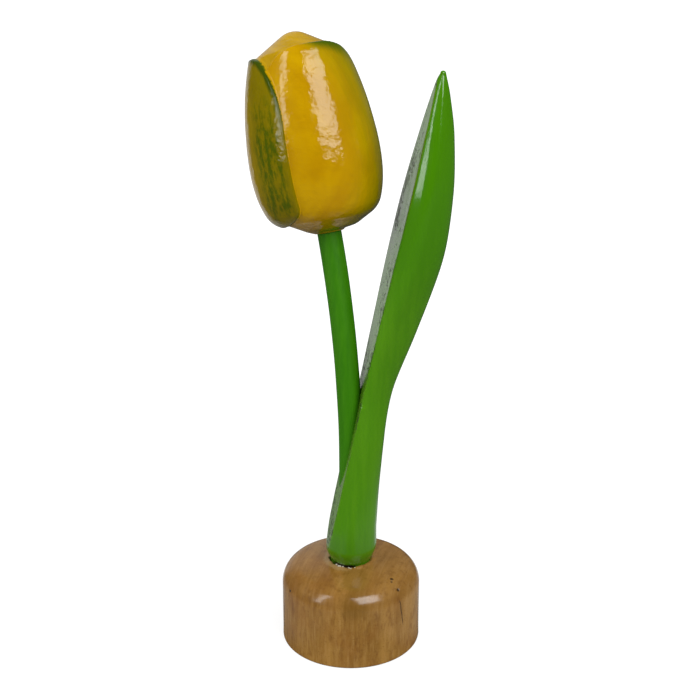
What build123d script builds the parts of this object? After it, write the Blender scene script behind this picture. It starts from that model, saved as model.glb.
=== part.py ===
from build123d import *
import os
from math import asin, cos, degrees, radians, sin

# A painted wooden tulip on a turned foot, in millimetres, +Z up.
# The origin is the centre of the foot's underside, and the front of the tulip faces -Y.
# The leaf plugs into the foot, the stem into the leaf and the flower head onto the stem, all glued.

os.makedirs("parts", exist_ok=True)

# Driving dimensions of the glued joints
glue_gap = 0.12                 # room for glue all round a plug
socket_depth = 14.0             # blind hole in the foot, filled by the leaf's plug
socket_mouth = 0.8              # chamfer that breaks the edge of that hole
head_socket_depth = 16.0        # blind hole under the flower head, filled by the stem
stem_chamfer = 0.5              # broken edges at the stem's two ends

# Driving dimensions of the turned foot
base_diameter = 45.0
base_height = 28.3              # at the middle of the domed top
base_crown = 3.3                # fall of the domed top from its middle to the wall
base_shoulder_radius = 7.0
base_edge_radius = 0.6

# Driving dimensions of the leaf, with heights measured from the top of the foot
leaf_turn = 6.5                 # degrees that the leaf is turned away from +X, about the axis
plug_diameter = 13.4
leaf_foot_diameter = 16.6
leaf_bevel_height = 5.2         # from the plug up to the full foot
leaf_foot_height = 12.7         # up to here the foot is round
leaf_height = 157.2
leaf_reach = 26.8               # how far the tip leans out from the axis
leaf_depth = 15.7               # from the sawn face to the back, where the blade is thickest
leaf_width = 21.0               # across the sawn face, where the blade is widest
leaf_tip_diameter = 1.8
saw_start_height = 3.0          # where the saw comes in at the side of the foot
saw_bow = 0.9                   # how far the sawn face is crowned along its length

# Driving dimensions of the stem, with heights measured from the top of the foot
stem_diameter = 7.5
stem_seat_height = 4.7          # bottom of the hole that is drilled into the leaf's foot
stem_bend_height = 32.3         # where the straight lower end turns into the bend
stem_bend_radius = 275.0
stem_lean = 15.8                # degrees that the bend turns the stem
stem_bend_turn = 51.0           # degrees from -X towards +Y, about the axis, that the stem leans to

# Driving dimensions of the flower head, with heights measured from its underside
head_offset = 0.6               # how far the stem's hole was drilled from the middle of the underside
petal_count = 3
petal_first_angle = 11.0        # degrees from +X to the free edge of one petal
petal_span = 152.0              # degrees round the axis from a petal's free edge to its hidden edge
petal_radius = 19.6             # of the egg that a petal is carved from
petal_shift = 0.9               # each petal's egg stands out towards the petal's free edge
petal_height = 56.1
petal_corner_width = 12.5       # the quarter ellipse that rounds a petal's upper corner
petal_corner_height = 22.0
petal_corner_level = 34.4       # the upper corner's rounding starts here and goes up
petal_heel_width = 8.0          # the arc that rounds a petal's lower corner
petal_heel_height = 13.0
petal_heel_bow = 2.2
belly_height = 22.0             # where the egg is widest
egg_side_radius = 98.0          # curve of the side, from the belly up
egg_spare = 1.0                 # the turned egg reaches this far above the carved tips
egg_corner_height = 6.3         # where the conical underside turns up into the side
egg_corner_reach = 15.6
egg_corner_radius = 6.0
egg_flat_radius = 4.5           # flat of the underside round the stem
rim_radius = 11.6               # inner wall of the petals round the bud
rim_depth = 8.0                 # how deep that wall is cut down
bud_inset = 1.6                 # how far the bud lies below the petals at the sides
bud_underside_inset = 0.5       # and at the underside, where the steps between the petals fade out
bud_height = 61.2
bud_slope = 31.0                # degrees that the bud's blunt cone falls towards its rim
bud_tip_radius = 7.0

# Turned foot

with BuildPart() as base:
    with BuildSketch(Plane.XZ):
        with BuildLine():
            underside = Line((0, 0), (base_diameter / 2, 0))
            wall_top = (base_diameter / 2, base_height - base_crown)
            crown = TangentArc((0, base_height), wall_top, tangent=(1, 0))
            Line(underside @ 1, crown @ 1)
            Line(crown @ 0, underside @ 0)
        make_face()
        with Locations((0, base_height)):
            Rectangle(
                plug_diameter / 2 + glue_gap,
                socket_depth,
                align=(Align.MIN, Align.MAX),
                mode=Mode.SUBTRACT,
            )
        chamfer(vertices().sort_by(Axis.Y)[-1], length=socket_mouth)
        fillet(vertices().group_by(Axis.X)[-1].sort_by(Axis.Y)[0], radius=base_edge_radius)
        fillet(vertices().group_by(Axis.X)[-1].sort_by(Axis.Y)[-1], radius=base_shoulder_radius)
    revolve(axis=Axis.Z)
base.part.label = "base"

# Line of the stem: straight in the leaf's foot, one long bend, straight again in the flower head

foot_top = (0, 0, base_height)
upwards = Vector(0, 0, 1)
bend_direction = Vector(-cos(radians(stem_bend_turn)), sin(radians(stem_bend_turn)), 0)
bend_plane = Plane(origin=foot_top, x_dir=bend_direction, z_dir=bend_direction.cross(upwards))

with BuildLine(bend_plane) as stem_line:
    lower = Line((0, stem_seat_height), (0, stem_bend_height))
    bend = JernArc(start=lower @ 1, tangent=lower % 1, radius=stem_bend_radius, arc_size=-stem_lean)
    Line(bend @ 1, bend @ 1 + (bend % 1) * head_socket_depth)
stem_path = stem_line.wires()[0]
stem_foot = Plane(origin=lower @ 0, z_dir=lower % 0)

with BuildPart() as stem:
    with BuildSketch(stem_foot):
        Circle(stem_diameter / 2)
    sweep(path=stem_path)
    chamfer(edges().filter_by(GeomType.CIRCLE).sort_by(Axis.Z)[0], length=stem_chamfer)
    chamfer(edges().filter_by(GeomType.CIRCLE).sort_by(Axis.Z)[-1], length=stem_chamfer)
stem.part.label = "stem"

# Leaf, carved through elliptical sections that lean outwards as they rise

leaf_direction = Vector(cos(radians(leaf_turn)), sin(radians(leaf_turn)), 0)
leaf_side = Plane(origin=foot_top, x_dir=leaf_direction, z_dir=leaf_direction.cross(upwards))
foot_radius = leaf_foot_diameter / 2
tip_radius = leaf_tip_diameter / 2

# The blade's sections as shares of the leaf's height, reach, depth and half width
blade_shares = (
    (0.244, 0.095, 0.484, 0.686),
    (0.370, 0.174, 0.535, 0.590),
    (0.496, 0.280, 0.830, 0.724),
    (0.641, 0.462, 1.000, 0.980),
    (0.767, 0.644, 0.858, 0.980),
    (0.880, 0.818, 0.555, 0.657),
    (0.956, 0.936, 0.252, 0.314),
)
leaf_sections = [
    (leaf_bevel_height, 0.0, foot_radius, foot_radius),
    (leaf_foot_height, 0.0, foot_radius, foot_radius),
]
for height_share, reach_share, depth_share, width_share in blade_shares:
    leaf_sections.append(
        (
            height_share * leaf_height,
            reach_share * leaf_reach,
            depth_share * leaf_depth,
            width_share * leaf_width / 2,
        )
    )
leaf_sections.append((leaf_height, leaf_reach, tip_radius, tip_radius))

with BuildPart() as leaf:
    for height, reach, depth, half_width in leaf_sections:
        with BuildSketch(Plane(origin=(0, 0, base_height + height), x_dir=leaf_direction)):
            with BuildLine():
                EllipticalCenterArc((reach, 0), depth, half_width, start_angle=-90, arc_size=180)
                EllipticalCenterArc((reach, 0), depth, half_width, start_angle=90, arc_size=180)
            make_face()
    loft()
    with BuildSketch(Plane.XY.offset(base_height)):
        Circle(plug_diameter / 2)
    with BuildSketch(Plane.XY.offset(base_height + leaf_bevel_height)):
        Circle(foot_radius)
    loft(ruled=True)
    with BuildSketch(Plane.XY.offset(base_height)):
        Circle(plug_diameter / 2)
    extrude(amount=-socket_depth)
    with BuildSketch(leaf_side):
        with BuildLine():
            saw_line = SagittaArc((-foot_radius, saw_start_height), (leaf_reach, leaf_height), saw_bow)
            Polyline(
                saw_line @ 1,
                saw_line @ 1 + (saw_line % 1) * leaf_width,
                (-leaf_width, leaf_height),
                (-leaf_width, saw_start_height),
                saw_line @ 0,
            )
        make_face()
    extrude(amount=leaf_width, both=True, mode=Mode.SUBTRACT)
    with BuildSketch(stem_foot):
        Circle(stem_diameter / 2 + glue_gap)
    sweep(path=stem_path, mode=Mode.SUBTRACT)
leaf.part.label = "leaf"

# Flower head, modelled upright on its own underside and then set on the stem

egg_top_height = max(bud_height, petal_height) + egg_spare
egg_side_arc = degrees(asin((egg_top_height - belly_height) / egg_side_radius))


def egg_half(inset, underside_inset):
    """Half of the turned egg's section, from the axis out, inset at its sides and at its underside."""
    belly = (petal_radius - inset, belly_height)
    corner = (egg_corner_reach - inset, egg_corner_height + underside_inset)
    with BuildSketch(Plane.XZ) as half:
        with BuildLine():
            TangentArc(belly, corner, tangent=(0, -1))
            side = JernArc(start=belly, tangent=(0, 1), radius=egg_side_radius, arc_size=egg_side_arc)
            Polyline(
                side @ 1,
                (0, egg_top_height),
                (0, underside_inset),
                (egg_flat_radius, underside_inset),
                corner,
            )
        make_face()
        fillet(vertices().group_by(Axis.Y)[1].sort_by(Axis.X)[-1], radius=egg_corner_radius)
    return half.sketch


# One petal: half of it is carved at its free edge, and the other half mirrors it
petal_middle = Plane(origin=(0, 0, 0), z_dir=Vector(0, 1, 0).rotate(Axis.Z, -petal_span / 2))

with BuildPart() as petal:
    with BuildSketch(Plane.XZ):
        add(egg_half(0, 0))
        with Locations((0, petal_height)):
            Rectangle(petal_radius, egg_top_height, align=(Align.MIN, Align.MIN), mode=Mode.SUBTRACT)
        with Locations((0, petal_height - rim_depth)):
            Rectangle(rim_radius, egg_top_height, align=(Align.MIN, Align.MIN), mode=Mode.SUBTRACT)
    revolve(axis=Axis.Z.reverse(), revolution_arc=petal_span / 2)
    with BuildSketch(Plane.YZ):
        with Locations((0, petal_corner_level)):
            Rectangle(2 * petal_corner_width, egg_top_height, align=(Align.CENTER, Align.MIN))
        with Locations((-petal_corner_width, petal_corner_level)):
            Ellipse(petal_corner_width, petal_corner_height, mode=Mode.SUBTRACT)
    extrude(amount=2 * petal_radius, both=True, mode=Mode.SUBTRACT)
    with BuildSketch(Plane.YZ):
        with BuildLine():
            heel = SagittaArc((0, petal_heel_height), (-petal_heel_width, 0), petal_heel_bow)
            Polyline(
                heel @ 1,
                heel @ 1 + (heel % 1) * petal_heel_bow,
                (petal_heel_width, -petal_heel_bow),
                (petal_heel_width, petal_heel_height),
                heel @ 0,
            )
        make_face()
    extrude(amount=2 * petal_radius, both=True, mode=Mode.SUBTRACT)
    mirror(about=petal_middle)

with BuildPart() as flower_head:
    with BuildSketch(Plane.XZ):
        add(egg_half(bud_inset, bud_underside_inset))
        with BuildLine():
            tip = JernArc(start=(0, bud_height), tangent=(1, 0), radius=bud_tip_radius, arc_size=-bud_slope)
            cone = Line(tip @ 1, tip @ 1 + (tip % 1) * petal_radius)
            Polyline(cone @ 1, cone @ 1 + (0, egg_top_height), (0, 2 * egg_top_height), tip @ 0)
        make_face(mode=Mode.SUBTRACT)
    revolve(axis=Axis.Z)
    with PolarLocations(petal_shift, petal_count, start_angle=petal_first_angle):
        add(petal.part)
    with BuildSketch(Plane.XY):
        with Locations((head_offset, 0)):
            Circle(stem_diameter / 2 + glue_gap)
    extrude(amount=head_socket_depth, mode=Mode.SUBTRACT)

stem_direction = bend % 1
head_seat = Plane(origin=bend @ 1, x_dir=Vector(0, 1, 0).cross(stem_direction), z_dir=stem_direction)
flower_head.part.locate(Location(head_seat) * Pos(X=-head_offset))
flower_head.part.label = "flower_head"

for piece in (base, leaf, stem, flower_head):
    export_step(piece.part, "parts/" + piece.part.label + ".step")
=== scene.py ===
"""A painted wooden tulip on a turned foot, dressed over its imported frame."""

import math

import bmesh
import bpy
from mathutils import Matrix, Vector, noise as lattice


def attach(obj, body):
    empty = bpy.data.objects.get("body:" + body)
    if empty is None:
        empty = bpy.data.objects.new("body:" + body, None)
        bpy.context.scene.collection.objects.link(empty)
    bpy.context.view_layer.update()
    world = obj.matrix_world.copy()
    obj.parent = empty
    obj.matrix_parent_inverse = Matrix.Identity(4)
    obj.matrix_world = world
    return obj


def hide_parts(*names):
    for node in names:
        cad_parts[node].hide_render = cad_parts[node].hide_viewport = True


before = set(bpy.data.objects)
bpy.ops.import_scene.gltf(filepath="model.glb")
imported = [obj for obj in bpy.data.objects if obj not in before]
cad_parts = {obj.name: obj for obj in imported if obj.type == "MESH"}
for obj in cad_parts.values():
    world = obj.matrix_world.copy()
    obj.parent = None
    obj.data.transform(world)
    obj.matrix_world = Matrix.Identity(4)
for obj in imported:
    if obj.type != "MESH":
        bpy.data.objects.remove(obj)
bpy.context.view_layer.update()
scene = bpy.context.scene
scene.view_settings.view_transform = "Standard"

# Lengths below are in millimetres. A finished mesh is scaled to the frame's metres.
MM = 0.001

# Guards for rounding, and for a cut that a line never meets
NEARLY_NONE = 0.0001
FAR_AWAY = 1000.0

# Turned foot
BASE_RADIUS = 22.5
BASE_HEIGHT = 28.3
BASE_CROWN = 3.3
BASE_SHOULDER = 7.0
BASE_EDGE = 0.6
SOCKET_RADIUS = 6.82
SOCKET_DEPTH = 14.0
SOCKET_MOUTH = 0.2

# Small pits in the wood, by place and size, and a hairline crack down the wall on the right
WOOD_PITS = (
    ((13.1, -11.4, 26.3), 0.75),
    ((12.9, -12.6, 25.9), 0.5),
    ((15.0, -14.4, 24.1), 0.75),
    ((-19.6, -10.5, 21.4), 0.6),
    ((4.5, 18.0, 25.2), 0.5),
)
CRACK_WAY = (0.708, -0.706)
CRACK_TOP = 21.0
CRACK_FOOT = 10.5
CRACK_LEAN = 0.154
CRACK_SIDE = -0.28

# Stem
STEM_RADIUS = 3.75
STEM_SEAT = BASE_HEIGHT + 4.7
STEM_BEND_START = BASE_HEIGHT + 32.3
STEM_BEND_RADIUS = 275.0
STEM_LEAN = math.radians(15.8)
STEM_BEND_TURN = math.radians(51.0)
STEM_IN_HEAD = 15.5

# Leaf, with heights from the top of the foot
LEAF_TURN = math.radians(6.5)
PLUG_RADIUS = 6.7
PLUG_NECK = 0.05
PLUG_LAG = 0.1
PLUG_CHAMFER = 0.5
PLUG_NECK_LENGTH = 5.0
LEAF_FOOT_RADIUS = 8.3
LEAF_BEVEL = 5.2
LEAF_SWELL = 1.1
LEAF_FOOT = 12.7
LEAF_HEIGHT = 157.5
LEAF_REACH = 26.8
LEAF_DEPTH = 15.7
LEAF_HALF_WIDTH = 10.5
LEAF_TIP_RADIUS = 0.9
SAW_START = 3.0
SAW_BOW = 0.9
SAW_TIP = 1.1
LEAF_RIM = 0.7
LEAF_WAVER = 0.1
LEAF_LEAST_HALF = 0.2
# The front edge is sanded off along a flat that widens upwards, up to a share of the half thickness
FLAT_WIDTH = 4.5
FLAT_DEPTH = 3.8
FLAT_SOFT = 2.0
FLAT_SHARE = 0.6
FLAT_START = 55.0
FLAT_FULL = 100.0
# Rows of points along the plug, the bevel above it, the blade and the tip, and points in each row
PLUG_ROWS = 12
BEVEL_ROWS = 12
BLADE_ROWS = 210
TIP_ROWS = 8
LEAF_SIDES = 176
# Shares of the leaf's height, reach, depth and half width at each carved section
LEAF_SHARES = (
    (0.244, 0.095, 0.484, 0.686),
    (0.370, 0.174, 0.535, 0.590),
    (0.496, 0.280, 0.830, 0.724),
    (0.641, 0.462, 1.000, 0.980),
    (0.767, 0.644, 0.858, 0.980),
    (0.880, 0.818, 0.555, 0.657),
    (0.956, 0.936, 0.252, 0.314),
)

# Flower head, with heights from its underside
HEAD_HOLE_RADIUS = 3.87
HEAD_HOLE_DEPTH = 16.0
HEAD_FLAT = 4.5
HEAD_OFFSET = 0.6
HEAD_CORNER = (15.3, 6.5)
HEAD_CORNER_RADIUS = 6.5
HEAD_BELLY = (18.0, 22.0)
HEAD_SIDE_RADIUS = 98.0
BUD_UNDERSIDE = 0.5
BUD_HEIGHT = 61.2
BUD_SLOPE = math.radians(31.0)
BUD_TIP_RADIUS = 7.0
PETAL_SPAN = math.radians(152.0)
PETAL_CORNER_WIDTH = 12.5
PETAL_CORNER_LEVEL = 34.4
# Each petal's name, free edge in degrees, stand above the bud, shift to its free edge and top, then
# the width of its rounded heel, the level where that begins and its height
PETALS = (
    ("Front", 11.0, 1.5, 0.8, 56.8, 3.0, 6.0, 5.1),
    ("Back", 131.0, 1.6, 0.8, 56.1, 8.0, 9.5, 8.6),
    ("Left", 251.0, 1.65, 0.6, 55.5, 12.0, 9.5, 5.7),
)
PETAL_SIZES = ("edge", "stand", "shift", "top", "heel", "heel level", "heel height")

# Camera, with its place in metres and its downward tilt in radians
CAMERA_PLACE = (0, -0.40549, 0.25642)
CAMERA_TILT = 0.3672
CAMERA_LENS = 72.41
CAMERA_SHIFT = -0.00133


def colour(red, green, blue):
    """A paint colour from its display values, 0 to 255."""
    shares = [value / 255 for value in (red, green, blue)]
    return tuple(s / 12.92 if s <= 0.04045 else ((s + 0.055) / 1.055) ** 2.4 for s in shares) + (1.0,)


def placed(name, data):
    """A new object in the scene."""
    item = bpy.data.objects.new(name, data)
    scene.collection.objects.link(item)
    return item


# Node arithmetic

class Field:
    """A number that a node tree works out, so that its nodes are written as plain arithmetic."""

    def __init__(self, tree, socket):
        self.tree = tree
        self.socket = socket

    def work(self, operation, *others):
        """This value and others through one more node."""
        node = self.tree.nodes.new("ShaderNodeMath")
        node.operation = operation
        for socket, value in zip(node.inputs, (self, *others)):
            feed(self.tree, socket, value)
        return Field(self.tree, node.outputs[0])

    def __add__(self, other):
        return self.work("ADD", other)

    __radd__ = __add__

    def __sub__(self, other):
        return self.work("SUBTRACT", other)

    def __rsub__(self, other):
        return self.work("MULTIPLY", -1.0).work("ADD", other)

    def __mul__(self, other):
        return self.work("MULTIPLY", other)

    __rmul__ = __mul__

    def __truediv__(self, other):
        return self.work("DIVIDE", other)

    def ramp(self, low, high):
        """0 at low and 1 at high, eased at both ends."""
        node = self.tree.nodes.new("ShaderNodeMapRange")
        node.interpolation_type = "SMOOTHSTEP"
        feed(self.tree, node.inputs[0], self)
        feed(self.tree, node.inputs[1], low)
        feed(self.tree, node.inputs[2], high)
        return Field(self.tree, node.outputs[0])

    def choose(self, other, wanted):
        """This value, or the other one where wanted is 1."""
        return self + (other - self) * wanted


def feed(tree, socket, value):
    """Links a field to a socket, or sets the socket to a plain value."""
    if isinstance(value, Field):
        tree.links.new(value.socket, socket)
    else:
        socket.default_value = value


def vector(tree, x, y, z):
    """Three numbers put together as one place."""
    node = tree.nodes.new("ShaderNodeCombineXYZ")
    for socket, value in zip(node.inputs, (x, y, z)):
        feed(tree, socket, value)
    return Field(tree, node.outputs[0])


def parts(tree, value):
    """The three numbers of a place."""
    node = tree.nodes.new("ShaderNodeSeparateXYZ")
    feed(tree, node.inputs[0], value)
    return [Field(tree, socket) for socket in node.outputs]


def mottle(tree, place, scale, detail=2.0, roughness=0.5, seed=0.0):
    """Soft random values around 0.5 over a place, by their fineness, octaves, roughness and seed."""
    node = tree.nodes.new("ShaderNodeTexNoise")
    node.noise_dimensions = "4D"
    feed(tree, node.inputs["Vector"], place)
    feed(tree, node.inputs["W"], seed)
    feed(tree, node.inputs["Scale"], scale)
    feed(tree, node.inputs["Detail"], detail)
    feed(tree, node.inputs["Roughness"], roughness)
    return Field(tree, node.outputs[0])


# Node trees that grow meshes

def grow_tree(name, **kinds):
    """An empty geometry tree with named inputs, and those inputs as fields."""
    tree = bpy.data.node_groups.new(name, "GeometryNodeTree")
    tree.interface.new_socket("Geometry", in_out="OUTPUT", socket_type="NodeSocketGeometry")
    for label, kind in kinds.items():
        tree.interface.new_socket(label.replace("_", " "), in_out="INPUT", socket_type="NodeSocket" + kind)
    entry = tree.nodes.new("NodeGroupInput")
    fields = {socket.name: Field(tree, socket) for socket in entry.outputs if socket.name}
    return tree, fields


def add(tree, kind, **settings):
    """A new node with its settings."""
    node = tree.nodes.new(kind)
    for label, value in settings.items():
        setattr(node, label, value)
    return node


def passed(tree, geometry, kind, inputs=None, **settings):
    """Sends a geometry through one more node and gives what comes out."""
    node = add(tree, kind, **settings)
    tree.links.new(geometry, node.inputs[0])
    for label, value in (inputs or {}).items():
        feed(tree, node.inputs[label], value)
    return node.outputs[0]


def close_tree(tree, geometry, material):
    """Ends a tree: smooth shading, real geometry and its finish."""
    geometry = passed(tree, geometry, "GeometryNodeSetShadeSmooth")
    geometry = passed(tree, geometry, "GeometryNodeRealizeInstances")
    geometry = passed(tree, geometry, "GeometryNodeSetMaterial", {"Material": material})
    leave = tree.nodes.new("NodeGroupOutput")
    tree.links.new(geometry, leave.inputs[0])


def grow(name, tree, values):
    """A new object whose plain mesh is what the tree grows from its named values."""
    piece = placed(name, bpy.data.meshes.new(name))
    modifier = piece.modifiers.new(name, "NODES")
    modifier.node_group = tree
    for item in tree.interface.items_tree:
        if item.in_out == "INPUT":
            modifier[item.identifier] = values[item.name]
    graph = bpy.context.evaluated_depsgraph_get()
    grown = piece.evaluated_get(graph)
    mesh = bpy.data.meshes.new_from_object(grown, preserve_all_data_layers=True, depsgraph=graph)
    piece.modifiers.remove(modifier)
    piece.data = mesh
    mesh.name = name
    return piece


def guide(name, points):
    """A curve that a tree reads, drawn with plain points."""
    data = bpy.data.curves.new(name, "CURVE")
    data.dimensions = "3D"
    spline = data.splines.new("POLY")
    spline.points.add(len(points) - 1)
    for point, place in zip(spline.points, points):
        point.co = (*place, 1.0)
    return placed(name, data)


def settle(piece, node, place=Matrix.Identity(4)):
    """Scales a finished piece to metres, sets it in its place and lets it stand for its CAD node, if any."""
    piece.data.transform(place @ Matrix.Scale(MM, 4))
    shell = bmesh.new()
    shell.from_mesh(piece.data)
    bmesh.ops.remove_doubles(shell, verts=shell.verts, dist=0.001 * MM)
    bmesh.ops.recalc_face_normals(shell, faces=shell.faces)
    shell.to_mesh(piece.data)
    shell.free()
    piece.data.polygons.foreach_set("use_smooth", [True] * len(piece.data.polygons))
    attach(piece, "root")
    if node:
        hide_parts(node)


def run(start, end, count):
    """Points on a straight run, without its end."""
    start, end = Vector(start), Vector(end)
    return [start.lerp(end, step / count) for step in range(count)]


def arc(centre, radius, first, last, count):
    """Points on an arc between two angles, without its end."""
    turns = [first + (last - first) * step / count for step in range(count)]
    return [Vector(centre) + radius * Vector((math.cos(t), math.sin(t))) for t in turns]


def upright(points):
    """Section points beside the axis, stood up in the XZ plane."""
    return [(point.x, 0.0, point.y) for point in points]


def turned_skin(tree, section, columns, crowd=None):
    """A skin turned from a section curve: its geometry, and the fields of each point on it."""
    info = add(tree, "GeometryNodeObjectInfo")
    feed(tree, info.inputs["Object"], section)
    line = info.outputs["Geometry"]
    count = add(tree, "GeometryNodeAttributeDomainSize", component="CURVE")
    tree.links.new(line, count.inputs[0])
    rows = Field(tree, count.outputs["Point Count"])
    grid = add(tree, "GeometryNodeMeshGrid")
    feed(tree, grid.inputs["Vertices X"], columns + 1)
    feed(tree, grid.inputs["Vertices Y"], rows)
    index = Field(tree, add(tree, "GeometryNodeInputIndex").outputs[0])
    column = (index / rows + NEARLY_NONE).work("FLOOR")
    row = index - column * rows

    def read(kind):
        sample = add(tree, "GeometryNodeSampleIndex", data_type="FLOAT_VECTOR", domain="POINT")
        tree.links.new(line, sample.inputs["Geometry"])
        tree.links.new(add(tree, kind).outputs[0], sample.inputs["Value"])
        feed(tree, sample.inputs["Index"], row)
        return parts(tree, Field(tree, sample.outputs[0]))

    radius, _, height = read("GeometryNodeInputPosition")
    along, _, rise = read("GeometryNodeInputTangent")
    turn = column / columns * math.tau
    # Columns stand closer together at a number of edges
    if crowd:
        edges, angle, share = crowd
        turn = turn - ((turn - angle) * edges).work("SINE") * (share / edges)
    return grid.outputs["Mesh"], turn, radius, height, rise, along * -1.0


def wrap_skin(tree, mesh, turn, radius, height, lift, out, up, ease):
    """Closes the skin round its axis, then lifts its points along the section's own normal."""
    across, ahead = turn.work("COSINE"), turn.work("SINE")
    for label, value in (("lift", lift), ("x", out * across), ("y", out * ahead), ("z", up)):
        mesh = keep(tree, mesh, label, value)
    place = vector(tree, radius * across, radius * ahead, height)
    mesh = passed(tree, mesh, "GeometryNodeSetPosition", {"Position": place})
    mesh = passed(tree, mesh, "GeometryNodeMergeByDistance", {"Distance": 0.002})
    blur = add(tree, "GeometryNodeBlurAttribute", data_type="FLOAT")
    feed(tree, blur.inputs["Value"], kept(tree, "lift"))
    blur.inputs["Iterations"].default_value = ease
    lift = Field(tree, blur.outputs["Value"])
    away = vector(tree, kept(tree, "x") * lift, kept(tree, "y") * lift, kept(tree, "z") * lift)
    mesh = passed(tree, mesh, "GeometryNodeSetPosition", {"Offset": away})
    for label in ("lift", "x", "y", "z"):
        mesh = passed(tree, mesh, "GeometryNodeRemoveAttribute", {"Name": label})
    return mesh


def keep(tree, geometry, label, value):
    """Stores a field on the points, for later nodes or the paint."""
    node = add(tree, "GeometryNodeStoreNamedAttribute", data_type="FLOAT", domain="POINT")
    tree.links.new(geometry, node.inputs["Geometry"])
    node.inputs["Name"].default_value = label
    feed(tree, node.inputs["Value"], value)
    return node.outputs[0]


def kept(tree, label):
    """A field that was stored on the points before."""
    node = add(tree, "GeometryNodeInputNamedAttribute", data_type="FLOAT")
    node.inputs["Name"].default_value = label
    return Field(tree, node.outputs["Attribute"])


# Finishes

class Finish:
    """A material with its principled shader, and the fields that its patterns are drawn from."""

    def __init__(self, name, **constants):
        self.material = bpy.data.materials.new(name)
        self.material.use_nodes = True
        self.tree = self.material.node_tree
        self.shader = self.tree.nodes["Principled BSDF"]
        for label, value in constants.items():
            self.shader.inputs[label.replace("_", " ")].default_value = value
        place = self.tree.nodes.new("ShaderNodeTexCoord").outputs["Object"]
        self.place = Field(self.tree, place)
        self.tone = None

    def mapped(self, scale, turn=(0, 0, 0)):
        """Object coordinates in millimetres, turned and stretched."""
        node = self.tree.nodes.new("ShaderNodeMapping")
        node.vector_type = "TEXTURE"
        feed(self.tree, node.inputs["Vector"], self.place)
        node.inputs["Scale"].default_value = [MM / value for value in scale]
        node.inputs["Rotation"].default_value = turn
        return Field(self.tree, node.outputs[0])

    def stored(self, label):
        """A field that was kept on the points of the mesh."""
        node = self.tree.nodes.new("ShaderNodeAttribute")
        node.attribute_name = label
        return Field(self.tree, node.outputs["Fac"])

    def mixed(self, share, first, second):
        """The first colour, with a share of the second laid over it."""
        node = self.tree.nodes.new("ShaderNodeMix")
        node.data_type = "RGBA"
        feed(self.tree, node.inputs[0], share)
        feed(self.tree, node.inputs[6], first)
        feed(self.tree, node.inputs[7], second)
        return Field(self.tree, node.outputs[2])

    def ridged(self, height, distance):
        """Bumps of a height field, given in millimetres."""
        node = self.tree.nodes.new("ShaderNodeBump")
        node.inputs["Strength"].default_value = 1.0
        node.inputs["Distance"].default_value = distance * MM
        feed(self.tree, node.inputs["Height"], height)
        self.tree.links.new(node.outputs[0], self.shader.inputs["Normal"])

    def ground(self, share, first, second):
        """The first coat, mottled from two colours."""
        self.tone = self.mixed(share, first, second)

    def coat(self, share, value):
        """One more colour, over a share of the coats before."""
        self.tone = self.mixed(share, self.tone, value)

    def painted(self):
        feed(self.tree, self.shader.inputs["Base Color"], self.tone)

    def dulled(self, value):
        feed(self.tree, self.shader.inputs["Roughness"], value)


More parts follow.
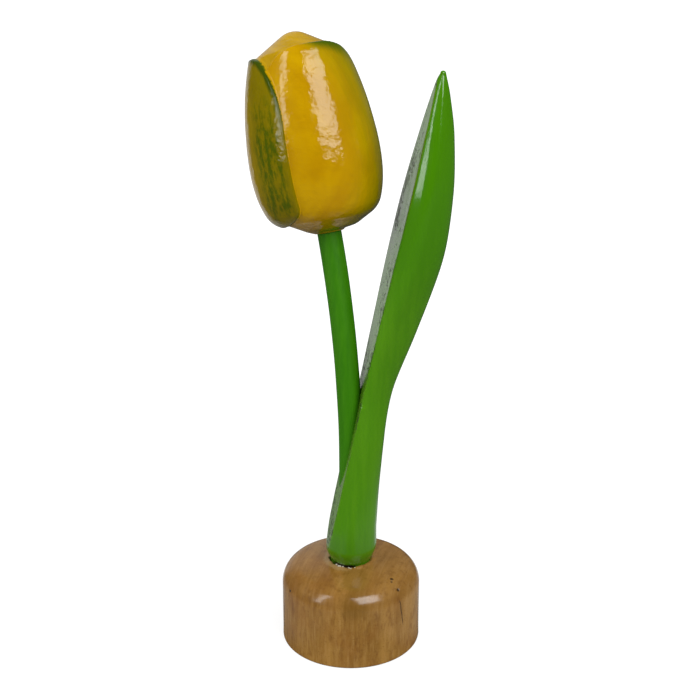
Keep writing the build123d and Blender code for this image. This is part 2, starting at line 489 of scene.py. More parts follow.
def varnished_wood():
    """Pale hardwood under clear varnish: upright layers, fine fibres, painted shade over the shoulder and
    top, and a few pits.
    """
    wood = Finish("varnished_wood", Specular_IOR_Level=0.6)
    tree = wood.tree
    layer_turn = (0, 0, math.radians(-16))
    fibres = mottle(tree, wood.mapped((1.0, 0.09, 0.07), layer_turn), 1.5, 4.0, 0.65, 3.0)
    layers = mottle(tree, wood.mapped((0.22, 0.03, 0.02), layer_turn), 1.0, 3.0, 0.55, 8.0)
    clouds = mottle(tree, wood.mapped((0.09, 0.09, 0.06)), 1.0, 3.0, 0.6, 5.0)
    turning = mottle(tree, wood.mapped((0.06, 0.06, 1.2)), 1.0, 3.0, 0.6, 14.0)
    grit = mottle(tree, wood.mapped((1, 1, 1)), 1.6, 3.0, 0.7, 15.0)
    flames = mottle(tree, wood.mapped((0.42, 0.42, 0.16), layer_turn), 1.0, 3.0, 0.65, 18.0)
    x, y, z = parts(tree, wood.mapped((1, 1, 1)))
    wood.ground(layers.ramp(0.35, 0.65), colour(148, 106, 46), colour(174, 130, 63))
    wood.coat(fibres.ramp(0.45, 0.72) * 0.5, colour(190, 148, 84))
    wood.coat(fibres.ramp(0.46, 0.28) * 0.4, colour(112, 75, 28))
    wood.coat(clouds.ramp(0.48, 0.66) * 0.45, colour(142, 92, 36))
    wood.coat(flames.ramp(0.5, 0.68) * 0.5, colour(118, 76, 30))
    wood.coat(flames.ramp(0.45, 0.3) * 0.3, colour(184, 138, 74))
    wood.coat(turning.ramp(0.55, 0.75) * 0.12, colour(190, 148, 86))
    wood.coat(grit.ramp(0.53, 0.7) * 0.42, colour(108, 70, 30))
    # Painted shade over the shoulder and top, a smear on its front and a film of glue round the hole
    wood.coat(z.ramp(19.5, 22.5) * 0.45, colour(108, 72, 28))
    smear = (x + (flames - 0.5) * 9.0).ramp(-4.5, -1.0) * (x + (clouds - 0.5) * 9.0).ramp(6.5, 3.0)
    smear = smear * y.ramp(-6.5, -9.0) * z.ramp(16.0, 21.0)
    wood.coat(smear * 0.4, colour(104, 74, 20))
    around_hole = (x * x + y * y).work("SQRT") + (grit - 0.5) * 2.5
    film = around_hole.ramp(9.6, 8.0) * x.ramp(1.0, -4.0) * z.ramp(26.0, 27.0)
    wood.coat(film * 0.45, colour(176, 150, 104))
    # Pits, and the crack with its lean and wander
    scar = 0.0
    for spot, size in WOOD_PITS:
        across, ahead, above = [axis - at for axis, at in zip((x, y, z), spot)]
        far = (across * across + ahead * ahead + above * above).work("SQRT")
        scar = (far + (fibres - 0.5) * size).ramp(size, size * 0.4) + scar
    tilt = CRACK_SIDE + CRACK_LEAN * (CRACK_TOP - z)
    wander = (mottle(tree, vector(tree, 0.0, 0.0, z), 0.35, 2.0, 0.6, 9.0) - 0.5) * 0.8
    off = (y * CRACK_WAY[0] - x * CRACK_WAY[1] - tilt + wander).work("ABSOLUTE")
    front = (x * CRACK_WAY[0] + y * CRACK_WAY[1]).ramp(15.0, 16.0)
    crack = off.ramp(0.22, 0.08) * front
    crack = crack * z.ramp(CRACK_FOOT, CRACK_FOOT + 3.0) * z.ramp(CRACK_TOP + 0.5, CRACK_TOP - 0.5)
    wood.coat((scar + crack).work("MINIMUM", 1.0) * 0.85, colour(44, 28, 12))
    wood.painted()
    wood.dulled(fibres.ramp(0.3, 0.7) * 0.1 + 0.12)
    wood.ridged(fibres * 0.5 + grit * 0.4 + clouds - scar * 3.5 - crack * 3.5, 0.04)
    return wood.material


def stem_paint():
    """Saturated green gloss on a dowel."""
    paint = Finish("stem_paint", Specular_IOR_Level=0.16)
    tree = paint.tree
    brushed = mottle(tree, paint.mapped((0.5, 0.5, 0.04)), 1.5, 3.0, 0.6, 2.0)
    paint.ground(brushed.ramp(0.3, 0.7), colour(52, 121, 0), colour(60, 129, 0))
    paint.painted()
    paint.dulled(brushed * 0.2 + 0.42)
    paint.ridged(brushed, 0.06)
    return paint.material


def leaf_paint():
    """Green gloss over carved wood, thinner and speckled on the sawn face, with painted shade at the front
    of its foot.
    """
    paint = Finish("leaf_paint", Specular_IOR_Level=0.68)
    tree = paint.tree
    sawn = paint.stored("sawn")
    brushed = mottle(tree, paint.mapped((0.4, 0.4, 0.04)), 1.3, 3.0, 0.6, 4.0)
    x, y, z = parts(tree, paint.mapped((1, 1, 1)))
    paint.ground(brushed.ramp(0.3, 0.7), colour(75, 137, 4), colour(83, 144, 6))
    paint.coat(z.ramp(110.0, 135.0) * 0.7, colour(64, 128, 0))
    paint.coat(z.ramp(45.0, 31.0) * 0.35, colour(52, 104, 0))
    # Painted shade at the front of the foot, where the gap round it falls dark, then bare specks on the sawn
    # face
    gap_shade = (z + (brushed - 0.5) * 0.8).ramp(29.1, 28.4) * y.ramp(-2.0, -5.0) * x.ramp(3.0, 0.5)
    paint.coat(gap_shade, colour(26, 20, 10))
    speckle = mottle(tree, paint.mapped((1.2, 0.5, 0.7)), 1.3, 4.0, 0.7, 7.0)
    smudges = mottle(tree, paint.mapped((0.15, 0.15, 0.06)), 1.0, 2.0, 0.5, 17.0)
    bare = (speckle + (smudges - 0.5) * 0.7).ramp(0.52, 0.68) * sawn
    paint.coat(sawn * 0.4, colour(90, 112, 40))
    paint.coat(bare * 0.7, colour(40, 48, 22))
    paint.painted()
    paint.dulled(brushed * 0.08 + z.ramp(135.0, 110.0) * 0.06 + 0.08 + bare * 0.35)
    paint.ridged(brushed + speckle * (sawn * 0.5 + 0.3), 0.07)
    return paint.material


def petal_paint():
    """Golden yellow gloss, dry-brushed with green towards the petals' free edges and rims."""
    paint = Finish("petal_paint", Specular_IOR_Level=0.46)
    tree = paint.tree
    # A point's petal, its distances from the free edge, the top and the outline, and its level
    number = paint.stored("petal")
    side = paint.stored("side")
    drop = paint.stored("drop")
    inside = paint.stored("inside")
    level = paint.stored("level")
    strokes_place = vector(tree, side * 0.5, level * 0.06, number * 9.0)
    strokes = mottle(tree, strokes_place, 1.6, 4.0, 0.65, 1.0)
    patches = mottle(tree, vector(tree, side * 0.12, level * 0.06, number * 9.0), 1.2, 2.0, 0.5, 6.0)
    is_left = number.work("GREATER_THAN", 2.5)
    is_bud = number.work("LESS_THAN", 0.5)
    gold = paint.mixed(patches.ramp(0.35, 0.65), colour(182, 136, 0), colour(196, 152, 0))
    bud = paint.mixed(patches.ramp(0.35, 0.65), colour(176, 138, 8), colour(189, 150, 22))
    paint.ground(is_bud, gold, bud)
    is_golden = (1.0 - is_left) * (1.0 - is_bud)
    # Green and olive, brushed in from the free edges
    brushed_side = side + (strokes - 0.5) * 10.0
    paint.coat(brushed_side.ramp(26.0, 4.0) * is_golden * 0.7, colour(98, 118, 0))
    olive = brushed_side.ramp(28.0, 8.0).choose(1.0, 0.2) * is_left
    paint.coat(olive * 0.75, colour(94, 98, 0))
    sponge = mottle(tree, vector(tree, side * 0.7, level * 0.3, number * 9.0), 1.0, 4.0, 0.7, 16.0)
    band = side.ramp(15.0, 9.0) * side.ramp(0.3, 2.5) * level.ramp(4.0, 12.0) * level.ramp(52.0, 30.0)
    green = (sponge + (strokes - 0.5) * 0.5 + band * 0.12).ramp(0.5, 0.72) * is_left * band
    paint.coat(green * 0.75, colour(46, 80, 2))
    # Dark edging along the rims
    rough = (strokes - 0.5) * 2.6
    left_rim = drop.ramp(14.0, 3.0) * 0.6 + 2.0
    left_edging = (inside + rough).ramp(left_rim, left_rim * 0.3) * drop.ramp(30.0, 10.0) * is_left
    golden_rim = ((17.0 - side) * 0.5).work("MAXIMUM", 0.0) + 3.6
    golden_edging = (drop + rough).ramp(golden_rim, golden_rim * 0.15) * side.ramp(21.0, 15.5) * is_golden
    paint.coat(left_edging * 0.85, colour(30, 66, 6))
    paint.coat(golden_edging * 0.9, colour(50, 84, 6))
    paint.painted()
    ripples = mottle(tree, paint.mapped((1, 1, 1)), 0.45, 1.0, 0.5, 11.0)
    flecks = mottle(tree, paint.mapped((0.8, 0.8, 1.3)), 1.25, 2.0, 0.6, 12.0)
    paint.dulled(flecks * 0.06 + 0.06)
    paint.ridged(ripples + flecks * 0.32, 0.2)
    return paint.material


def dried_glue():
    """Cloudy white glue."""
    glue = Finish("dried_glue", Specular_IOR_Level=0.5, Transmission_Weight=0.3)
    cloud = mottle(glue.tree, glue.mapped((1, 1, 1)), 1.5)
    glue.ground(cloud, colour(206, 196, 170), colour(236, 230, 214))
    glue.painted()
    glue.dulled(cloud * 0.2 + 0.12)
    return glue.material


# Turned foot

def base_section():
    """Half section of the foot, from the middle of its underside round to the floor of its hole."""
    crown_radius = (BASE_RADIUS ** 2 + BASE_CROWN ** 2) / (2 * BASE_CROWN)
    crown_centre = Vector((0, BASE_HEIGHT - crown_radius))
    reach = BASE_RADIUS - BASE_SHOULDER
    shoulder_rise = math.sqrt((crown_radius - BASE_SHOULDER) ** 2 - reach ** 2)
    shoulder = Vector((reach, crown_centre.y + shoulder_rise))
    shoulder_end = math.atan2(shoulder_rise, reach)
    mouth_radius = SOCKET_RADIUS + SOCKET_MOUTH
    mouth_angle = math.acos(mouth_radius / crown_radius)
    mouth = crown_centre + crown_radius * Vector((math.cos(mouth_angle), math.sin(mouth_angle)))
    throat = (SOCKET_RADIUS, mouth.y - SOCKET_MOUTH)
    floor = BASE_HEIGHT - SOCKET_DEPTH
    edge = (BASE_RADIUS - BASE_EDGE, BASE_EDGE)
    points = run((0, 0), (edge[0], 0), 24)
    points += arc(edge, BASE_EDGE, -math.pi / 2, 0, 6)
    points += run((BASE_RADIUS, BASE_EDGE), (BASE_RADIUS, shoulder.y), 36)
    points += arc(shoulder, BASE_SHOULDER, 0, shoulder_end, 30)
    points += arc(crown_centre, crown_radius, shoulder_end, mouth_angle, 24)
    points += run(mouth, throat, 5)
    points += run(throat, (SOCKET_RADIUS, floor), 12)
    points += run((SOCKET_RADIUS, floor), (0, floor), 6)
    return upright(points + [Vector((0, floor))])


def turn_base(material):
    """The foot, with a slight waver and a torn lip round its hole."""
    tree, given = grow_tree(
        "turned_foot", Section="Object", Columns="Int", Waver="Float", Torn_mouth="Float",
        Tight_side="Float", Mouth_radius="Float", Seed="Float", Finish="Material",
    )
    mesh, turn, radius, height, out, up = turned_skin(tree, given["Section"], given["Columns"])
    place = vector(tree, radius * turn.work("COSINE"), radius * turn.work("SINE"), height)
    waver = (mottle(tree, place, 0.06, 2.0, 0.5, given["Seed"]) - 0.75) * given["Waver"]
    torn = (mottle(tree, place, 0.9, 3.0, 0.6, given["Seed"]) - 0.5) * given["Torn mouth"]
    near = (radius - given["Mouth radius"]).work("ABSOLUTE").ramp(1.3, 0.2) * height.ramp(20.0, 26.0)
    tight = (radius * turn.work("COSINE")).ramp(0.5, 3.0) * given["Tight side"]
    lift = waver * (radius / 3.0).work("MINIMUM", 1.0) * height.ramp(0.0, 4.0) + (torn + tight) * near
    mesh = wrap_skin(tree, mesh, turn, radius, height, lift, out, up, 0)
    close_tree(tree, mesh, given["Finish"])
    section = guide("base_section", base_section())
    piece = grow(
        "base_turned", tree,
        {
            "Section": section, "Columns": 288, "Waver": 0.25, "Torn mouth": 0.8, "Tight side": 0.45,
            "Mouth radius": SOCKET_RADIUS + SOCKET_MOUTH, "Seed": 4.0, "Finish": material,
        },
    )
    bpy.data.objects.remove(section)
    settle(piece, "base")


# Stem, swept along one long bend

bend_way = Vector((-math.cos(STEM_BEND_TURN), math.sin(STEM_BEND_TURN), 0))
stem_way = bend_way * math.sin(STEM_LEAN) + Vector((0, 0, math.cos(STEM_LEAN)))
bend_side = STEM_BEND_RADIUS * (1 - math.cos(STEM_LEAN))
bend_rise = STEM_BEND_RADIUS * math.sin(STEM_LEAN)
bend_end = bend_way * bend_side + Vector((0, 0, STEM_BEND_START + bend_rise))


def bend_stem(material):
    """The dowel, swept along its line with a slight waver."""
    tree, given = grow_tree(
        "bent_dowel", Line="Object", Radius="Float", Rings="Int", Sides="Int", Waver="Float",
        Seed="Float", Finish="Material",
    )
    info = add(tree, "GeometryNodeObjectInfo")
    feed(tree, info.inputs["Object"], given["Line"])
    line = passed(tree, info.outputs["Geometry"], "GeometryNodeResampleCurve", {"Count": given["Rings"]})
    spot = Field(tree, add(tree, "GeometryNodeInputPosition").outputs[0])
    waver = (mottle(tree, spot, 0.05, 1.0, 0.5, given["Seed"]) - 0.5) * given["Waver"]
    line = passed(tree, line, "GeometryNodeSetCurveRadius", {"Radius": waver + 1.0})
    ring = add(tree, "GeometryNodeCurvePrimitiveCircle", mode="RADIUS")
    feed(tree, ring.inputs["Resolution"], given["Sides"])
    feed(tree, ring.inputs["Radius"], given["Radius"])
    sweep = add(tree, "GeometryNodeCurveToMesh")
    tree.links.new(line, sweep.inputs["Curve"])
    tree.links.new(ring.outputs[0], sweep.inputs["Profile Curve"])
    sweep.inputs["Fill Caps"].default_value = True
    tree.links.new(add(tree, "GeometryNodeInputRadius").outputs[0], sweep.inputs["Scale"])
    close_tree(tree, sweep.outputs[0], given["Finish"])

    data = bpy.data.curves.new("stem_line", "CURVE")
    data.dimensions = "3D"
    data.resolution_u = 24
    spline = data.splines.new("BEZIER")
    spline.bezier_points.add(3)
    pull = 4 / 3 * math.tan(STEM_LEAN / 4) * STEM_BEND_RADIUS
    up = Vector((0, 0, 1))
    stops = (
        (up * STEM_SEAT, up, 8.0, 8.0),
        (up * STEM_BEND_START, up, 8.0, pull),
        (bend_end, stem_way, pull, 5.0),
        (bend_end + stem_way * STEM_IN_HEAD, stem_way, 5.0, 5.0),
    )
    for point, (place, way, before, after) in zip(spline.bezier_points, stops):
        point.handle_left_type = "FREE"
        point.handle_right_type = "FREE"
        point.co = place
        point.handle_left = place - way * before
        point.handle_right = place + way * after
    line_object = placed("stem_line", data)
    piece = grow(
        "stem_bent", tree,
        {
            "Line": line_object, "Radius": STEM_RADIUS, "Rings": 240, "Sides": 64, "Waver": 0.04,
            "Seed": 2.0, "Finish": material,
        },
    )
    bpy.data.objects.remove(line_object)
    settle(piece, "stem")


# Leaf, carved through sections that lean outwards as they rise

def eased(stations, height):
    """Values between the stations of a table, along smooth curves through them."""
    last = len(stations) - 2
    at = max(k for k in range(last + 1) if stations[k][0] <= height or k == 0)
    low, high = stations[at], stations[at + 1]
    before = stations[max(at - 1, 0)]
    after = stations[min(at + 2, last + 1)]
    span = high[0] - low[0]
    share = min(max((height - low[0]) / span, 0.0), 1.0)
    values = []
    for k in range(1, len(low)):
        leave = (high[k] - before[k]) / (high[0] - before[0]) * span
        arrive = (after[k] - low[k]) / (after[0] - low[0]) * span
        square, cube = share ** 2, share ** 3
        values.append(
            (2 * cube - 3 * square + 1) * low[k] + (cube - 2 * square + share) * leave
            + (3 * square - 2 * cube) * high[k] + (cube - square) * arrive
        )
    return values


def leaf_rows():
    """Height, reach, depth and half width of the leaf's closely spaced sections."""
    stations = [(height, 0, LEAF_FOOT_RADIUS, LEAF_FOOT_RADIUS) for height in (LEAF_BEVEL, LEAF_FOOT)]
    full = (LEAF_HEIGHT, LEAF_REACH, LEAF_DEPTH, LEAF_HALF_WIDTH)
    for shares in LEAF_SHARES:
        stations.append(tuple(share * size for share, size in zip(shares, full)))
    tip = LEAF_HEIGHT - LEAF_TIP_RADIUS
    stations.append((tip, LEAF_REACH, LEAF_TIP_RADIUS, LEAF_TIP_RADIUS))
    plug_end = PLUG_RADIUS - PLUG_CHAMFER
    rows = [(-SOCKET_DEPTH, 0, plug_end, plug_end)]
    for step in range(PLUG_ROWS + 1):
        height = -SOCKET_DEPTH + PLUG_CHAMFER + step * (SOCKET_DEPTH - PLUG_CHAMFER) / PLUG_ROWS
        radius = PLUG_RADIUS - PLUG_NECK * max(1 + height / PLUG_NECK_LENGTH, 0.0)
        rows.append((height, 0, radius, radius))
    neck = PLUG_RADIUS - PLUG_NECK
    for step in range(1, BEVEL_ROWS):
        share = step / BEVEL_ROWS
        radius = neck + (LEAF_FOOT_RADIUS - neck) * math.sin(share * math.pi / 2) ** LEAF_SWELL
        rows.append((share * LEAF_BEVEL, 0, radius, radius))
    for step in range(BLADE_ROWS + 1):
        height = LEAF_BEVEL + (tip - LEAF_BEVEL) * step / BLADE_ROWS
        reach, depth, width = eased(stations, height)
        rows.append((height, reach, depth, width))
    for step in range(1, TIP_ROWS):
        share = step / TIP_ROWS
        round_over = LEAF_TIP_RADIUS * math.sqrt(1 - share ** 2)
        rows.append((tip + share * LEAF_TIP_RADIUS, LEAF_REACH, round_over, round_over))
    return rows


def sawn_at(height):
    """How far out the sawn face lies at a height."""
    share = (height - SAW_START) / (LEAF_HEIGHT - SAW_START)
    span = LEAF_REACH - SAW_TIP + LEAF_FOOT_RADIUS
    return -LEAF_FOOT_RADIUS + span * share - 4 * SAW_BOW * share * (1 - share)


def eased_least(first, second, soft):
    """The smaller of two distances, rounded over where they meet."""
    near = max(soft - abs(first - second), 0) / soft
    return min(first, second) - near ** 2 * soft / 4


def bark_at(out, reach, depth, width):
    """Where the leaf's rounded back is on the front side, at a distance out from the stem."""
    return -width * math.sqrt(max(1 - ((out - reach) / depth) ** 2, 0.0))


def carve_leaf(material):
    """The leaf, with every section cut by the saw and by the sanded flat."""
    around = LEAF_SIDES
    points, sawn = [], []
    for height, reach, depth, width in leaf_rows():
        face = max(sawn_at(height), reach - depth) if height > SAW_START else reach - depth
        middle = (face + reach + depth) / 2
        thick = max((reach + depth - face) / 2, LEAF_LEAST_HALF)
        soft = min(LEAF_RIM, thick / 2)
        share = min(max((height - FLAT_START) / (FLAT_FULL - FLAT_START), 0.0), 1.0)
        flat = min(FLAT_WIDTH, FLAT_SHARE * thick) * share
        # The flat runs from the front rim of the sawn face to the bark, tipped in by its depth
        flat_u = face + flat
        rim_v = bark_at(face, reach, depth, width)
        flat_v = bark_at(flat_u, reach, depth, width)
        flat_way = Vector((flat_v - rim_v - FLAT_DEPTH / FLAT_WIDTH * flat, -flat)).normalized()
        flat_far = flat_way.dot(Vector((flat_u - middle, flat_v)))
        for step in range(around):
            turn = math.tau * step / around
            way = Vector((math.cos(turn) * thick, math.sin(turn) * width)).normalized()
            # How far out the bark is from the section's middle, then the flat and the saw cut
            across = (middle - reach) / depth
            square = (way.x / depth) ** 2 + (way.y / width) ** 2
            half = across * way.x / depth
            bark = (-half + math.sqrt(max(half ** 2 - square * (across ** 2 - 1), 0))) / square
            far = bark
            facing = way.dot(flat_way)
            if facing > NEARLY_NONE and flat > 0:
                far = eased_least(bark, flat_far / facing, min(FLAT_SOFT, thick / 2))
            cut = FAR_AWAY
            if way.x < -NEARLY_NONE and height > SAW_START:
                cut = (sawn_at(height) - middle) / way.x
            on_face = cut < far
            far = eased_least(far, cut, soft)
            u, v = middle + way.x * far, way.y * far
            x = u * math.cos(LEAF_TURN) - v * math.sin(LEAF_TURN)
            y = u * math.sin(LEAF_TURN) + v * math.cos(LEAF_TURN)
            z = BASE_HEIGHT + height
            y += PLUG_LAG * max(1 - abs(height) / LEAF_BEVEL, 0.0)
            waver = LEAF_WAVER * lattice.noise(Vector((x, y, z * 0.4)) * 0.16)
            points.append((x + waver * way.x, y + waver * way.y, z))
            sawn.append(1.0 if on_face else 0.0)
    count = len(points) // around
    faces = []
    for row in range(count - 1):
        for step in range(around):
            after = (step + 1) % around
            low, high = row * around, (row + 1) * around
            faces.append((low + step, low + after, high + after, high + step))
    for row, lift in ((0, 0.0), (count - 1, 0.1)):
        ring = range(row * around, (row + 1) * around)
        middle = sum((Vector(points[k]) for k in ring), Vector()) / around
        points.append(tuple(middle + Vector((0, 0, lift))))
        sawn.append(0.0)
        for step in range(around):
            faces.append((row * around + step, row * around + (step + 1) % around, len(points) - 1))
    mesh = bpy.data.meshes.new("leaf_carved")
    mesh.from_pydata(points, [], faces)
    mesh.materials.append(material)
    mesh.attributes.new("sawn", "FLOAT", "POINT").data.foreach_set("value", sawn)
    piece = placed("leaf_carved", mesh)
    settle(piece, "leaf")


# Flower head, turned as a bud and carved with petals that overlap round it

def head_section():
    """Half section of the bud, from the top of its stem hole round to its tip."""
    corner_x, corner_z = HEAD_CORNER
    belly_x, belly_z = HEAD_BELLY
    low_radius = ((belly_x - corner_x) ** 2 + (belly_z - corner_z) ** 2) / (2 * (belly_x - corner_x))
    low_centre = Vector((belly_x - low_radius, belly_z))
    side_centre = Vector((belly_x - HEAD_SIDE_RADIUS, belly_z))
    tip_centre = Vector((0, BUD_HEIGHT - BUD_TIP_RADIUS))
    tip_end = tip_centre + BUD_TIP_RADIUS * Vector((math.sin(BUD_SLOPE), math.cos(BUD_SLOPE)))
    fall = Vector((math.cos(BUD_SLOPE), -math.sin(BUD_SLOPE)))
    nudge = 0.01
    step = 0.0
    while (tip_end + fall * step - side_centre).length < HEAD_SIDE_RADIUS:
        step += nudge
    shoulder = tip_end + fall * step
    lip = math.asin((shoulder.y - belly_z) / HEAD_SIDE_RADIUS)
    slope = (Vector(HEAD_CORNER) - Vector((HEAD_FLAT, BUD_UNDERSIDE))).normalized()
    inward = Vector((-slope.y, slope.x))
    back = 0.0
    while True:
        bowl = Vector(HEAD_CORNER) - slope * back + inward * HEAD_CORNER_RADIUS
        if (bowl - low_centre).length <= low_radius - HEAD_CORNER_RADIUS:
            break
        back += nudge
    bowl_start = math.atan2(-inward.y, -inward.x)
    start = math.atan2(bowl.y - low_centre.y, bowl.x - low_centre.x)
    hole = run((0, HEAD_HOLE_DEPTH), (HEAD_HOLE_RADIUS, HEAD_HOLE_DEPTH), 2)
    hole += run((HEAD_HOLE_RADIUS, HEAD_HOLE_DEPTH), (HEAD_HOLE_RADIUS, BUD_UNDERSIDE), 6)
    hole += run((HEAD_HOLE_RADIUS, BUD_UNDERSIDE), (HEAD_FLAT, BUD_UNDERSIDE), 2)
    points = run((HEAD_FLAT, BUD_UNDERSIDE), bowl - inward * HEAD_CORNER_RADIUS, 18)
    points += arc(bowl, HEAD_CORNER_RADIUS, bowl_start, start, 20)
    points += arc(low_centre, low_radius, start, 0, 34)
    points += arc(side_centre, HEAD_SIDE_RADIUS, 0, lip, 110)
    points += run(shoulder, tip_end, 34)
    points += arc(tip_centre, BUD_TIP_RADIUS, math.pi / 2 - BUD_SLOPE, math.pi / 2, 14)
    points += [Vector((0, BUD_HEIGHT))]
    ease_passes = 8
    for _ in range(ease_passes):
        middle = [(points[k - 1] + points[k] * 2 + points[k + 1]) / 4 for k in range(1, len(points) - 1)]
        points = points[:1] + middle + points[-1:]
    return upright(hole + points)


def carve_head(material):
    """The head: at each point the highest petal wins, and where none is there the bud shows."""
    sizes = {
        "Section": "Object", "Columns": "Int", "Offset": "Float", "Span": "Float", "Thin_underside": "Float",
        "Corner_width": "Float", "Corner_level": "Float", "Knife_width": "Float", "Waver": "Float",
        "Seed": "Float",
    }
    values = {
        "Columns": 396, "Offset": HEAD_OFFSET, "Span": PETAL_SPAN, "Thin underside": 1.0,
        "Corner width": PETAL_CORNER_WIDTH, "Corner level": PETAL_CORNER_LEVEL, "Knife width": 0.24,
        "Waver": 0.3, "Seed": 3.0, "Finish": material,
    }
    for name, *numbers in PETALS:
        for label, value in zip(PETAL_SIZES, numbers):
            sizes[name + " " + label] = "Float"
            values[name + " " + label] = math.radians(value) if label == "edge" else value
    sizes["Finish"] = "Material"
    tree, given = grow_tree("carved_head", **sizes)
    first_edge = math.radians(PETALS[0][1])
    mesh, turn, radius, height, out, up = turned_skin(
        tree, given["Section"], given["Columns"], (len(PETALS), first_edge, 0.6)
    )
    spot = vector(tree, radius * turn.work("COSINE"), radius * turn.work("SINE"), height)
    waver = (mottle(tree, spot, 0.09, 2.0, 0.5, given["Seed"]) - 0.5) * given["Waver"]
    wobble = (mottle(tree, spot, 0.16, 2.0, 0.5, given["Seed"] + 5.0) - 0.5) * given["Waver"]
    flank = height.ramp(3.0, 15.0)
    beside_hole = radius.ramp(4.4, 9.5)
    half = given["Span"] / 2.0

    def corner(side, level, wide, tall, start, way):
        """Distance inside a rounded corner of a petal's outline."""
        across = ((wide - side) / wide).work("MAXIMUM", 0.0)
        along = ((level - start) * way / tall).work("MAXIMUM", 0.0)
        size = (across * across + along * along).work("SQRT")
        true_across, true_along = across * wide, along * tall
        reach = (true_across * true_across + true_along * true_along).work("SQRT")
        return (reach + wide * 0.01) * (1.0 - size) / (size + 0.01)

    best = number = side_kept = inside_kept = drop_kept = None
    for count, (name, *_) in enumerate(PETALS, 1):
        stand = given["Thin underside"].choose(given[name + " stand"], flank)
        around = (turn - given[name + " edge"] + half).work("WRAP", math.pi, -math.pi)
        bearing = (around - half).work("COSINE")
        thick = (stand + given[name + " shift"] * bearing * out + waver) * beside_hole
        skin = radius + out * thick
        level = height + up * thick
        side = (half - around.work("ABSOLUTE")) * skin
        free = (half - around) * skin
        top = given[name + " top"]
        shoulder = given["Corner level"]
        upper = corner(side, level, given["Corner width"], top - shoulder, shoulder, 1.0)
        heel = given[name + " heel"], given[name + " heel height"], given[name + " heel level"]
        lower = corner(side, level, *heel, -1.0)
        inside = upper.work("MINIMUM", lower) + wobble
        knife = given["Knife width"] * (free.ramp(20.0, 30.0) * 1.5 + 1.0)
        lift = thick * inside.ramp(knife * -1.0, knife)
        drop = top - level
        present = inside.work("GREATER_THAN", 0.0)
        if best is None:
            best, side_kept, inside_kept, drop_kept = lift, free, inside, drop
            number = present * count
        else:
            higher = lift.work("GREATER_THAN", best)
            side_kept = side_kept.choose(free, higher)
            inside_kept = inside_kept.choose(inside, higher)
            drop_kept = drop_kept.choose(drop, higher)
            number = number.choose(present * count, higher)
            best = best.work("MAXIMUM", lift)
    for label, value in (
        ("petal", number), ("side", side_kept), ("inside", inside_kept),
        ("drop", drop_kept), ("level", height),
    ):
        mesh = keep(tree, mesh, label, value)
    mesh = wrap_skin(tree, mesh, turn, radius, height, best + waver * 0.3 * beside_hole, out, up, 2)
    x, y, z = parts(tree, Field(tree, add(tree, "GeometryNodeInputPosition").outputs[0]))
    in_hole = (x * x + y * y).work("SQRT").ramp(6.5, 4.3) * z.ramp(30.0, 20.0)
    aside = vector(tree, in_hole * given["Offset"], 0.0, 0.0)
    mesh = passed(tree, mesh, "GeometryNodeSetPosition", {"Offset": aside})
    close_tree(tree, mesh, given["Finish"])
    section = guide("head_section", head_section())
    values["Section"] = section
    piece = grow("flower_head_carved", tree, values)
    bpy.data.objects.remove(section)
    across = Vector((0, 1, 0)).cross(stem_way).normalized()
    seat = Matrix((across, stem_way.cross(across), stem_way)).transposed().to_4x4()
    seat.translation = (bend_end - across * HEAD_OFFSET) * MM
    settle(piece, "flower_head", seat)


# Beads of dried glue in the ragged gap round the leaf's foot

def bead_glue(material):
    """Small flattened drops, strewn over a part of the ring round the leaf's foot."""
    tree, given = grow_tree(
        "glue_beads", Count="Int", Ring="Float", Height="Float", From_angle="Float", To_angle="Float",
        Smallest="Float", Largest="Float", Seed="Int", Finish="Material",
    )

    def chance(low, high, salt):
        node = add(tree, "FunctionNodeRandomValue", data_type="FLOAT")
        feed(tree, node.inputs[2], low)
        feed(tree, node.inputs[3], high)
        feed(tree, node.inputs["Seed"], given["Seed"] + salt)
        return Field(tree, node.outputs[1])

    dots = add(tree, "GeometryNodePoints")
    feed(tree, dots.inputs["Count"], given["Count"])
    turn = chance(given["From angle"], given["To angle"], 1)
    far = given["Ring"] + chance(-0.25, 0.3, 2)
    spot = vector(
        tree, far * turn.work("COSINE"), far * turn.work("SINE"), given["Height"] + chance(-0.2, 0.15, 3)
    )
    feed(tree, dots.inputs["Position"], spot)
    drop = add(tree, "GeometryNodeMeshIcoSphere")
    drop.inputs["Subdivisions"].default_value = 2
    set_out = add(tree, "GeometryNodeInstanceOnPoints")
    tree.links.new(dots.outputs[0], set_out.inputs["Points"])
    tree.links.new(drop.outputs[0], set_out.inputs["Instance"])
    size = chance(given["Smallest"], given["Largest"], 4)
    feed(tree, set_out.inputs["Scale"], vector(tree, size * chance(1.0, 1.7, 5), size, size * 0.7))
    feed(tree, set_out.inputs["Rotation"], vector(tree, 0.0, 0.0, turn + math.pi / 2))
    close_tree(tree, set_out.outputs[0], given["Finish"])
    piece = grow(
        "glue_beads", tree,
        {
            "Count": 12, "Ring": 7.1, "Height": 27.95, "From angle": math.radians(-140),
            "To angle": math.radians(-62), "Smallest": 0.16, "Largest": 0.36, "Seed": 11, "Finish": material,
        },
    )
    settle(piece, None)


turn_base(varnished_wood())
bend_stem(stem_paint())
carve_leaf(leaf_paint())
carve_head(petal_paint())
bead_glue(dried_glue())


# Studio

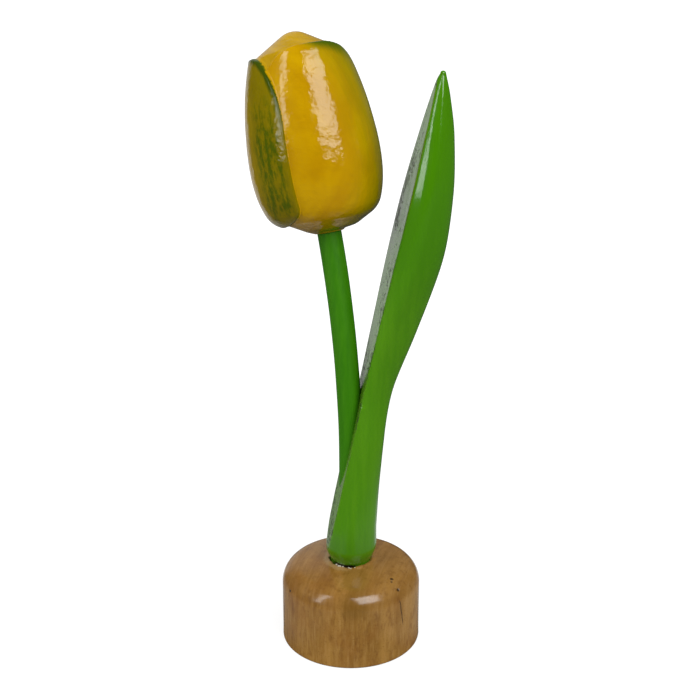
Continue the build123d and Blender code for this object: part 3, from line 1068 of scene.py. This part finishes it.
def white_floor():
    """A pale floor, white to the camera and behind the tulip in reflections, that takes the shadow."""
    material = bpy.data.materials.new("studio_floor")
    material.use_nodes = True
    tree = material.node_tree
    tree.nodes.remove(tree.nodes["Principled BSDF"])
    paper = tree.nodes.new("ShaderNodeBsdfDiffuse")
    glow = tree.nodes.new("ShaderNodeEmission")
    x, y, _ = parts(tree, Field(tree, tree.nodes.new("ShaderNodeTexCoord").outputs["Object"]))
    rays = tree.nodes.new("ShaderNodeLightPath")
    mirrored = Field(tree, rays.outputs["Is Glossy Ray"])
    # In the gloss the floor is darker, except beside the foot
    far = (x * x + y * y).work("SQRT")
    beside = x.work("ABSOLUTE").ramp(0.018, 0.03) * far.ramp(0.14, 0.07)
    feed(tree, paper.inputs["Color"], 0.22 - mirrored * (1.0 - beside) * 0.16)
    seen = Field(tree, rays.outputs["Is Camera Ray"])
    seen = seen.work("MAXIMUM", Field(tree, rays.outputs["Is Transmission Ray"]))
    # In the gloss it is white only behind the tulip
    behind = (y - (x.work("ABSOLUTE") - 0.02) * 1.2).ramp(-0.005, 0.03)
    behind = behind * x.ramp(0.0, -0.15).work("MAXIMUM", y.ramp(0.09, 0.05))
    seen = seen.work("MAXIMUM", mirrored * behind * 0.55)
    feed(tree, glow.inputs["Strength"], seen * (far.ramp(0.03, 0.4) * 0.16 + 0.84))
    both = tree.nodes.new("ShaderNodeAddShader")
    tree.links.new(paper.outputs[0], both.inputs[0])
    tree.links.new(glow.outputs[0], both.inputs[1])
    tree.links.new(both.outputs[0], tree.nodes["Material Output"].inputs["Surface"])
    return material


def lay_floor():
    """A wide floor under the foot, for the picture only."""
    reach = 6.0
    mesh = bpy.data.meshes.new("floor")
    corners = [(-reach, -reach, 0), (reach, -reach, 0), (reach, reach, 0), (-reach, reach, 0)]
    mesh.from_pydata(corners, [], [(0, 1, 2, 3)])
    mesh.materials.append(white_floor())
    floor = placed("floor", mesh)


def hang_softbox(name, bearing, elevation, width, height, radiance):
    """A soft lamp, by its bearing to the right of the camera and its height over the horizon."""
    distance = 1.2
    middle = Vector((0, 0, 0.12))
    lamp = bpy.data.lights.new(name, "AREA")
    lamp.shape = "RECTANGLE"
    lamp.size = 2 * distance * math.tan(math.radians(width) / 2)
    lamp.size_y = 2 * distance * math.tan(math.radians(height) / 2)
    lamp.energy = math.pi * lamp.size * lamp.size_y * radiance
    box = placed(name, lamp)
    side, rise = math.radians(bearing), math.radians(elevation)
    way = Vector((math.sin(side) * math.cos(rise), -math.cos(side) * math.cos(rise), math.sin(rise)))
    box.location = middle + way * distance
    box.rotation_euler = way.to_track_quat("Z", "Y").to_euler()
    box.visible_camera = False


def light_room():
    """White to the camera, soft light from both sides, a dim room and a pale back wall in the gloss."""
    world = bpy.data.worlds.new("studio")
    scene.world = world
    world.use_nodes = True
    tree = world.node_tree
    sky = tree.nodes["Background"]
    way = Field(tree, tree.nodes.new("ShaderNodeTexCoord").outputs["Generated"])
    x, y, z = parts(tree, way)
    sky.inputs["Color"].default_value = (1, 1, 1, 1)
    from_left = x.ramp(-0.1, -0.9) * 1.25
    from_right = x.ramp(0.1, 0.9) * 0.72
    from_behind = y.ramp(-0.4, 0.6) * 0.35
    from_above = z.ramp(0.35, 0.9) * 0.05
    level = from_left + from_right + from_behind + from_above + 0.15
    rays = tree.nodes.new("ShaderNodeLightPath")
    mirrored = y.ramp(0.6, 0.88) * (x.ramp(0.15, -0.15) * 0.36 + 0.1) + 0.02
    level = level.choose(mirrored, Field(tree, rays.outputs["Is Glossy Ray"]))
    seen = Field(tree, rays.outputs["Is Camera Ray"])
    seen = seen.work("MAXIMUM", Field(tree, rays.outputs["Is Transmission Ray"]))
    feed(tree, sky.inputs["Strength"], level.choose(1.0, seen))


def place_camera():
    """The photograph's view: from a little above the flower, looking down on the foot."""
    data = bpy.data.cameras.new("camera")
    data.lens = CAMERA_LENS
    data.sensor_width = 36.0
    data.shift_x = CAMERA_SHIFT
    data.clip_start = 0.01
    camera = placed("camera", data)
    camera.location = CAMERA_PLACE
    camera.rotation_euler = (math.pi / 2 - CAMERA_TILT, 0, 0)
    scene.camera = camera


lay_floor()
hang_softbox("softbox_right", bearing=32, elevation=41, width=32, height=36, radiance=5.8)
hang_softbox("softbox_left", bearing=-55, elevation=31, width=9, height=46, radiance=5.0)
light_room()
place_camera()
